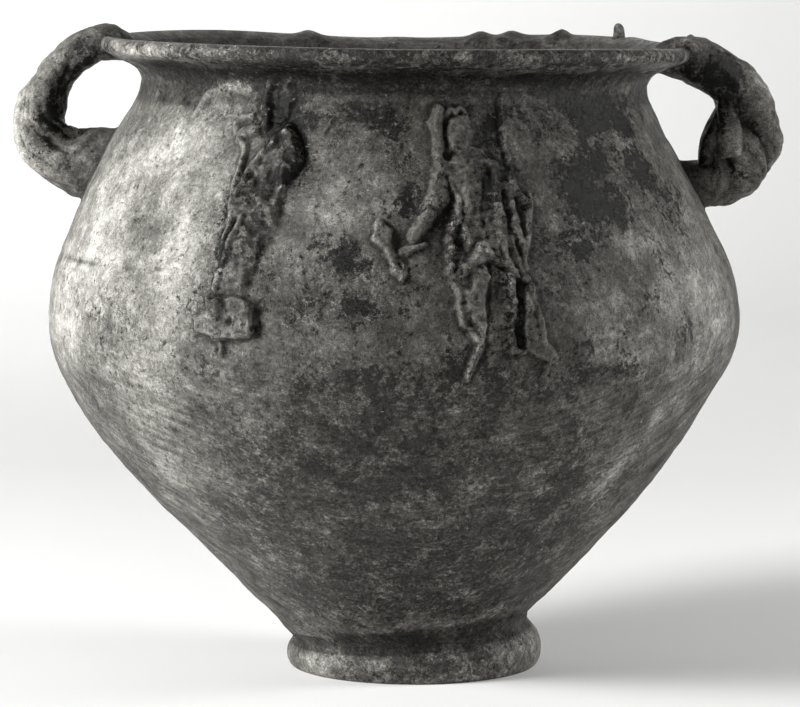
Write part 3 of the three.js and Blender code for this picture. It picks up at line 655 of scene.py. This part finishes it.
# Knobs: the tall stub on the back rim and the two bumps where the right handle leaves the lip.
# [azimuth, outwards past the rim's middle, height, radius at the base, radius at the tip]
knobs = [[125.5, 0, 8.4, 4.2, 2.3], [92, 4.5, 7.4, 6.2, 2.2], [92, 14, 2.6, 6, 2.6]]
for place, past, height, base, tip in knobs:
    bpy.ops.mesh.primitive_uv_sphere_add(segments=24, ring_count=20, radius=1)
    knob = bpy.context.object
    shape = readPoints(knob)
    up = np.clip((shape[:, 2] + 1) / 2, 0, 1)
    angle = math.radians(place)
    reach = flareRadius + past
    root = [reach * math.sin(angle), -reach * math.cos(angle), bowl["rimHeight"] - 1.5]
    root = warp(np.array([root]))[0]
    around = np.maximum(np.hypot(shape[:, 0], shape[:, 1]), 1e-6)
    domed = np.sqrt(np.clip(1 - np.maximum(2 * up - 1, 0) ** 4, 0, 1))
    size = (tip + (base - tip) * (1 - up) ** 2) * domed
    shape[:, :2] *= np.where(around > 1e-4, size * np.minimum(around * 4, 1) / around, 0)[:, None]
    shape[:, 2] = (height + 3) * up - 3
    shape += root
    shape += 0.3 * lumps(shape, 7, 17)[:, None]
    shape[:, 0] += axisX
    writePoints(knob, shape / 1000)
    joinTo(wall, knob, 1.6, 4)
print("knobs joined:", len(knobs))

tidyMesh(wall, 1e-6)
activate(wall)
bpy.ops.object.shade_smooth()
wall.name = "glazed_relief_bowl"


# Dark and pale patches of the glaze, each [azimuth, height, half width, half height, lean in degrees,
# strength]. The dark list holds glaze stains and painted shade: the band under the lip, the rim's top
# and the area beside the staff bearer's arm. It also makes the lower cone darker towards the foot. The
# pale list holds glaze loss and painted light: the key's light on the left flank and the side lamp's
# light on the right belly.
stainsAndPaintedLight = {
    "dark": [
        [-25, 263, 9, 13, 0, 1.6], [-22, 248, 9, 9, 0, 1.6], [-18, 233, 6, 10, 0, 1.3],
        [-10, 253, 14, 5, 0, 0.8], [0, 248, 10, 8, 0, 0.9], [2, 235, 6, 6, 0, 0.8],
        [-10, 243, 4, 7, 0, 0.7], [20, 242, 8, 15, 0, 0.8], [18, 222, 6, 12, 0, 0.9],
        [3, 219, 6, 8, 0, 0.6], [-7, 198, 7, 6, 0, 1.0], [-6, 191, 20, 4, 0, 0.9],
        [-5, 177, 16, 10, 0, 1.0], [-14, 174, 8, 8, 0, 0.7], [11, 197, 5, 15, 0, 0.6],
        [18, 197, 6, 15, 0, 0.6], [48, 250, 22, 9, 0, 1.5], [57, 238, 10, 14, 10, 1.1],
        [42, 232, 16, 7, 0, 1.0], [37, 218, 14, 10, 0, 1.3], [45, 213, 14, 7, 0, 0.9],
        [54, 222, 11, 7, 0, 0.7], [33, 201, 11, 12, 0, 0.8], [27, 181, 7, 10, 0, 0.5],
        [60, 208, 9, 9, 20, 0.5], [5, 266, 95, 4.5, 0, 0.9], [-50, 268, 30, 4, 0, 0.5],
        [10, 278, 200, 8, 0, 1.3], [37, 146, 28, 4, -4, 0.8], [27, 141, 15, 7, 0, 0.6],
        [8, 142, 34, 14, 0, 0.8], [-10, 137, 18, 16, 0, 0.6], [9, 106, 44, 24, 0, 0.9],
        [-2, 62, 32, 20, 0, 0.9], [24, 62, 30, 22, 0, 1.0], [35, 100, 16, 26, 0, 0.8],
        [-8, 101, 18, 24, 0, 0.6], [-22, 106, 18, 22, 20, 0.7], [-30, 78, 16, 18, 30, 0.7],
        [4, 40, 44, 9, 0, 0.9], [-40, 70, 24, 18, 0, 0.5], [-30, 45, 22, 14, 0, 0.5],
        [44, 45, 20, 16, 0, 0.6], [12, 11, 46, 12, 0, 0.8], [43, 171, 15, 6, 0, 0.4],
        [-51, 165, 15, 11, 0, 0.4], [-32, 176, 6, 10, 0, 0.4], [-22, 198, 5, 16, 8, 0.6],
        [-38, 253, 7, 5, 0, 0.5], [52, 80, 20, 24, 0, 0.6], [170, 240, 40, 16, 0, 0.8],
        [215, 150, 40, 24, 0, 0.8], [130, 190, 22, 26, 0, 0.9], [185, 90, 46, 22, 0, 0.7],
        [-29, 198, 5, 20, 6, 1.0], [-19, 231, 4, 12, 0, 0.8], [-26, 220, 4, 8, 0, 0.6],
        [9, 205, 5, 14, 0, 0.6], [24, 205, 4, 24, -6, 0.6], [19, 170, 4, 16, 0, 0.8],
        [260, 215, 16, 20, 0, 0.6], [100, 120, 20, 20, 0, 0.6], [130, 70, 50, 20, 0, 0.7],
        [250, 60, 50, 24, 0, 0.7], [180, 277, 180, 4, 0, 0.9],
    ],
    "pale": [
        [-60, 220, 30, 26, 20, 1.0], [-46, 240, 24, 16, 20, 0.9], [-38, 212, 16, 26, 10, 0.9],
        [-56, 185, 30, 20, 0, 0.8], [-37, 180, 16, 20, 0, 0.9], [-65, 157, 22, 18, 0, 0.7],
        [-44, 146, 24, 15, 0, 0.75], [-46, 120, 26, 14, 0, 0.7], [-50, 98, 20, 13, 0, 0.6],
        [-58, 76, 12, 12, 0, 0.4], [-24, 160, 8, 10, 0, 0.4], [-52, 8, 14, 7, 0, 0.5],
        [-34, 264, 20, 2.5, 0, 0.8], [-11, 215, 9, 13, 0, 0.6], [-2, 216, 8, 12, 0, 0.4],
        [-15, 194, 5, 8, 0, 0.4], [47, 197, 17, 6, 0, 0.9], [57, 177, 20, 18, 0, 0.8],
        [36, 168, 20, 9, 0, 0.5], [66, 165, 16, 20, 0, 0.5], [53, 121, 8, 9, 35, 0.8],
        [68, 196, 18, 12, 30, 0.5], [29, 217, 5, 16, 0, 0.3], [25, 246, 2.5, 12, 0, 0.5],
        [62, 262, 24, 2.5, 0, 0.5], [58, 138, 14, 14, 30, 0.4], [47, 100, 10, 12, 40, 0.4],
        [-62, 277, 22, 3, 0, 0.9], [60, 276, 20, 3, 0, 0.5], [150, 140, 34, 26, 0, 0.6],
        [235, 230, 30, 20, 0, 0.6], [200, 200, 26, 16, 0, 0.5], [285, 180, 30, 40, 0, 0.8],
    ],
}
# Patches on the handles, partly stains and partly painted light and painted shade from the key on the
# left and the side lamp on the right: [side, reach from the axis, height, half across, half up,
# strength]
handleStainsAndPaintedLight = {
    "dark": [
        [1, 142, 268, 15, 7, 1.0], [1, 152, 258, 8, 8, 0.6], [-1, 140, 270, 10, 9, 0.8],
        [-1, 154, 246, 5, 16, 0.6], [-1, 143.5, 222, 1.4, 11, 0.9], [1, 165, 232, 5, 8, 0.4],
        [1, 137, 222, 4, 4, 0.5],
    ],
    "pale": [
        [-1, 167, 246, 6, 22, 0.9], [-1, 160, 222, 14, 8, 0.8], [-1, 150, 272, 8, 6, 0.5],
        [1, 166, 262, 7, 10, 0.5], [1, 149, 236, 4, 10, 0.8], [1, 146, 220, 9, 6, 0.7],
        [1, 158, 226, 4, 9, 0.9],
    ],
}


def spread(stainAndLightList, azimuth, z, radius):
    total = np.zeros(len(z))
    for place, level, wide, tall, lean, strength in stainAndLightList:
        across = np.radians((azimuth - place + 180) % 360 - 180) * radius
        over = z - level
        cosine = math.cos(math.radians(lean))
        sine = math.sin(math.radians(lean))
        gap = ((across * cosine + over * sine) / wide) ** 2
        gap += ((over * cosine - across * sine) / tall) ** 2
        total += strength * np.exp(-gap)
    return np.clip(total, 0, 1.4)


def storeValues(obj, name, values, kind="FLOAT"):
    layer = obj.data.attributes.new(name, kind, "POINT")
    key = "value" if kind == "FLOAT" else "vector"
    layer.data.foreach_set(key, np.asarray(values, np.float32).ravel())


def hollows(obj, passes):
    # above 0 in hollows and below 0 on ridges, in millimetres
    edges = np.empty(len(obj.data.edges) * 2, np.int32)
    obj.data.edges.foreach_get("vertices", edges)
    a, b = edges.reshape(-1, 2).T
    normals = readTriples(obj.data.vertices, "normal")
    start = readPoints(obj) * 1000
    count = np.bincount(a, minlength=len(start)) + np.bincount(b, minlength=len(start))
    now = start
    for _ in range(passes):
        sums = [np.bincount(a, now[b, k], len(start)) + np.bincount(b, now[a, k], len(start))
                for k in range(3)]
        now = 0.5 * now + 0.5 * np.stack(sums, 1) / count[:, None]
    return ((now - start) * normals).sum(1)


points = readPoints(wall) * 1000
z = points[:, 2]
x = points[:, 0] - axisX - readCurve(bowl["shift"], z)
azimuth = np.degrees(np.arctan2(x, -points[:, 1]))
radius = np.maximum(np.hypot(x, points[:, 1]), 1)
onOuter = np.clip((radius - wallRadius(z) + 6) / 3, 0, 1)
handle = np.clip((radius - wallRadius(np.minimum(z, 272)) - 5) / 3, 0, 1) * (z > 190)
facing = readTriples(wall.data.vertices, "normal")
inward = -(facing[:, 0] * x + facing[:, 1] * points[:, 1]) / radius
for name, stainAndLightList in stainsAndPaintedLight.items():
    amount = spread(stainAndLightList, azimuth, z, np.maximum(radius, 50)) * onOuter * (1 - handle)
    for side, reach, level, across, over, strength in handleStainsAndPaintedLight[name]:
        gap = ((radius - reach) / across) ** 2 + ((z - level) / over) ** 2
        amount += handle * (side * x > 0) * strength * np.exp(-gap)
    # painted shade on the handles' faces that turn towards the bowl
    if name == "dark":
        amount += handle * 0.9 * np.clip(inward * 1.6, 0, 1)
    storeValues(wall, name, np.clip(amount, 0, 1.4))
storeValues(wall, "hollow", hollows(wall, 10))
# inner surfaces, which the glaze ramp darkens as painted shade
storeValues(wall, "inside", np.clip((wallRadius(z) - 4 - radius) / 2, 0, 1) * (z > 22))
# a copy of the place in which brush marks hang round the cone in shallow arcs
turn = np.radians(azimuth)
arc = z - 60 * (1 - np.cos(turn))
combed = np.stack([np.sin(turn) * 4, -np.cos(turn) * 4, arc * 0.5], 1)
storeValues(wall, "combed", combed, "FLOAT_VECTOR")
# the brush shows on the cone and again below the lip
wiped = np.maximum(np.clip((165 - z) / 40, 0, 1), np.clip((z - 256) / 8, 0, 0.8))
storeValues(wall, "wiped", wiped * (1 - handle))


class Link:
    # a socket that takes part in Python sums
    tree = None

    def __init__(self, socket):
        self.socket = socket

    @classmethod
    def node(cls, kind, settings=None, **values):
        made = cls.tree.nodes.new(kind)
        for key, value in (settings or {}).items():
            setattr(made, key, value)
        for key, value in values.items():
            numbered = key[0] == "i" and key[1:].isdigit()
            socket = made.inputs[int(key[1:]) if numbered else key]
            if isinstance(value, Link):
                cls.tree.links.new(value.socket, socket)
            else:
                socket.default_value = value
        return made

    @classmethod
    def ramp(cls, amount, colours):
        # a colour ramp with its colours evenly spaced
        made = cls.node("ShaderNodeValToRGB", i0=amount)
        stops = made.color_ramp.elements
        for k, colour in enumerate(colours):
            stop = stops[k] if k < 2 else stops.new(1)
            stop.position = k / (len(colours) - 1)
            stop.color = (*colour, 1)
        return made

    @classmethod
    def maths(cls, operation, first, second):
        return cls(cls.node("ShaderNodeMath", {"operation": operation}, i0=first, i1=second).outputs[0])

    def __add__(self, other):
        return self.maths("ADD", self, other)

    def __sub__(self, other):
        return self.maths("SUBTRACT", self, other)

    def __mul__(self, other):
        return self.maths("MULTIPLY", self, other)

    def __rsub__(self, other):
        return self.maths("SUBTRACT", other, self)

    __radd__ = __add__
    __rmul__ = __mul__

    def step(self, low, high):
        # 0 below low, 1 above high, smooth between
        smooth = {"interpolation_type": "SMOOTHSTEP"}
        return Link(self.node("ShaderNodeMapRange", smooth, i0=self, i1=low, i2=high).outputs[0])


def noise(where, scale, detail=4, rough=0.6, warpBy=0.0):
    # cloudiness round 0, mostly between -1 and 1
    made = Link.node("ShaderNodeTexNoise", Vector=where, Scale=scale, Detail=detail, Roughness=rough,
                     Distortion=warpBy)
    return (Link(made.outputs["Fac"]) - 0.5) * 16


def attribute(name):
    return Link.node("ShaderNodeAttribute", {"attribute_name": name})


def blend(amount, first, second):
    made = Link.node("ShaderNodeMix", {"data_type": "RGBA"}, i0=amount)
    for index, tone in ((6, first), (7, second)):
        if isinstance(tone, Link):
            Link.tree.links.new(tone.socket, made.inputs[index])
        else:
            made.inputs[index].default_value = (*tone, 1)
    return Link(made.outputs[2])


def newMaterial(name):
    made = bpy.data.materials.new(name)
    made.use_nodes = True
    Link.tree = made.node_tree
    return made, made.node_tree.nodes["Principled BSDF"]


def feed(shader, **values):
    for key, value in values.items():
        socket = shader.inputs[key.replace("_", " ")]
        if isinstance(value, Link):
            Link.tree.links.new(value.socket, socket)
        else:
            socket.default_value = value


# Tones of the fired surface, warm near-greys from the burnt glaze to the bare worn clay; the darkest
# also serves as painted shade
tones = {
    "burntGlazeAndShade": (0.008, 0.0079, 0.0074), "deep": (0.026, 0.0253, 0.023), "dull": (0.062, 0.06, 0.054),
    "mid": (0.14, 0.136, 0.123), "worn": (0.31, 0.302, 0.278), "chalk": (0.58, 0.57, 0.53),
}


def glazeMaterial():
    glaze, shader = newMaterial("worn_lead_glaze")
    where = Link(Link.node("ShaderNodeTexCoord").outputs["Object"])
    stored = ("dark", "pale", "hollow", "wiped", "inside")
    value = {name: Link(attribute(name).outputs["Fac"]) for name in stored}
    combed = Link(attribute("combed").outputs["Vector"])
    broad = noise(where, 20, 3)
    cloud = noise(where, 75, 5, 0.6, 0.4)
    blotch = noise(where, 240, 8, 0.7, 0.5)
    fleck = noise(where, 620, 5, 0.7)
    grain = noise(where, 1700, 3, 0.75)
    brush = noise(combed, 1.0, 7, 0.66) * (value["wiped"] * 0.8 + 0.2)
    # ridges and hollows of the relief: the lighter ridges are worn edges and painted highlight, the
    # darker hollows are dirt and painted shade
    ridge = (0 - value["hollow"]).step(0.02, 0.35)
    hollow = value["hollow"].step(0.0, 0.4)

    # how light the surface is, from 0 where the glaze is thick and burnt to 1 on bare clay: glaze wear,
    # raised by the pale patches and on ridges as worn edges and painted highlight, lowered by the dark
    # patches, in hollows as dirt and painted shade, and inside the bowl as painted shade
    wearAndPaintedLight = 0.47 + value["pale"] * 0.3 - value["dark"] * 0.05 - value["inside"] * 0.2
    wearAndPaintedLight = wearAndPaintedLight + broad * 0.02 + cloud * 0.04 + brush * 0.045 + ridge * 0.08 - hollow * 0.22
    wearAndPaintedLight = wearAndPaintedLight + (blotch * 0.045 + fleck * 0.045 + grain * 0.05) * (0.85 + value["dark"] * 0.8)
    tone = Link(Link.ramp(wearAndPaintedLight, list(tones.values())).outputs["Color"])
    # glaze that still holds: dark blotches with crisp ragged edges, crowded in the stains and pulled
    # into the hollows, so that they also carry the painted shade of the dark patches and the hollows
    heldGlazeAndShade = noise(where, 300, 8, 0.8) * 0.75 + noise(where, 62, 4, 0.6, 0.3) * 0.5 + brush * 0.25
    heldGlazeAndShade = heldGlazeAndShade + value["dark"] * 1.75 - value["pale"] * 0.9 + hollow * 0.5
    burntGlazeAndShade = heldGlazeAndShade.step(1.15, 1.5)
    tone = blend(burntGlazeAndShade * (0.92 - value["wiped"] * 0.3), tone, tones["burntGlazeAndShade"])
    # pits, chips and flecks of bare clay
    pits = noise(where, 430, 3).step(2.1, 2.4)
    chips = noise(where, 260, 7, 0.75).step(2.45, 2.7)
    tone = blend(pits * 0.6, tone, tones["burntGlazeAndShade"])
    tone = blend(chips * 0.5, tone, tones["chalk"])

    height = cloud * 0.04 + blotch * 0.04 + fleck * 0.035 + grain * 0.02 + burntGlazeAndShade * 0.15 + brush * 0.03
    height = height - chips * 0.2 - pits * 0.3
    bump = Link(Link.node("ShaderNodeBump", Strength=0.8, Distance=0.001, Height=height).outputs[0])
    rough = 0.6 - burntGlazeAndShade * 0.3 - value["dark"] * 0.08 + fleck * 0.02
    feed(shader, Base_Color=tone, Roughness=rough, Normal=bump, Specular_IOR_Level=0.12)
    return glaze


wall.data.materials.clear()
wall.data.materials.append(glazeMaterial())
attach(wall, "root")
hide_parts("relief_bowl")
print("bowl finished:", len(wall.data.polygons), "faces")

# A pale sweep under and behind the bowl
sweep = {"width": 6.0, "front": -2.6, "back": 2.5, "bend": 0.8, "height": 3.2}
bpy.ops.mesh.primitive_grid_add(x_subdivisions=2, y_subdivisions=64, size=2)
floor = bpy.context.object
floor.name = "studio_sweep"
flat = readPoints(floor)
run = (flat[:, 1] + 1) / 2 * (sweep["back"] - sweep["front"] + sweep["height"])
level = sweep["back"] - sweep["front"] - sweep["bend"]
turn = np.clip((run - level) / (sweep["bend"] * math.pi / 2), 0, 1) * math.pi / 2
rest = np.maximum(run - level - sweep["bend"] * math.pi / 2, 0)
y = sweep["front"] + np.minimum(run, level) + sweep["bend"] * np.sin(turn)
z = sweep["bend"] * (1 - np.cos(turn)) + rest
writePoints(floor, np.stack([flat[:, 0] * sweep["width"] / 2, y, z], 1))
bpy.ops.object.shade_smooth()
paper, shader = newMaterial("studio_paper")
feed(shader, Base_Color=(0.83, 0.83, 0.82, 1), Roughness=0.9)
floor.data.materials.append(paper)

# Soft studio light: a strong key from the left, a weak one from the right, a wash on the backdrop
lights = {
    "key": {"at": (-1.64, -0.6, 0.9), "aim": (0, 0, 0.15), "size": 0.7, "power": 66},
    "side": {"at": (1.6, 0.1, 0.65), "aim": (0, 0, 0.15), "size": 0.6, "power": 23},
    "wash": {"at": (-0.8, 1.25, 1.5), "aim": (-0.7, 2.6, 1.0), "size": 1.2, "power": 22},
}
for name, light in lights.items():
    lamp = bpy.data.lights.new(name, "AREA")
    lamp.size = light["size"]
    lamp.energy = light["power"]
    holder = bpy.data.objects.new(name, lamp)
    holder.location = light["at"]
    aim = Vector(light["aim"]) - Vector(light["at"])
    holder.rotation_euler = aim.to_track_quat("-Z", "Y").to_euler()
    bpy.context.scene.collection.objects.link(holder)
air = bpy.data.worlds.new("studio_air")
air.use_nodes = True
air.node_tree.nodes["Background"].inputs[0].default_value = (1, 1, 1, 1)
air.node_tree.nodes["Background"].inputs[1].default_value = 0.09
bpy.context.scene.world = air
bpy.context.scene.view_settings.view_transform = "Standard"
print("light set")
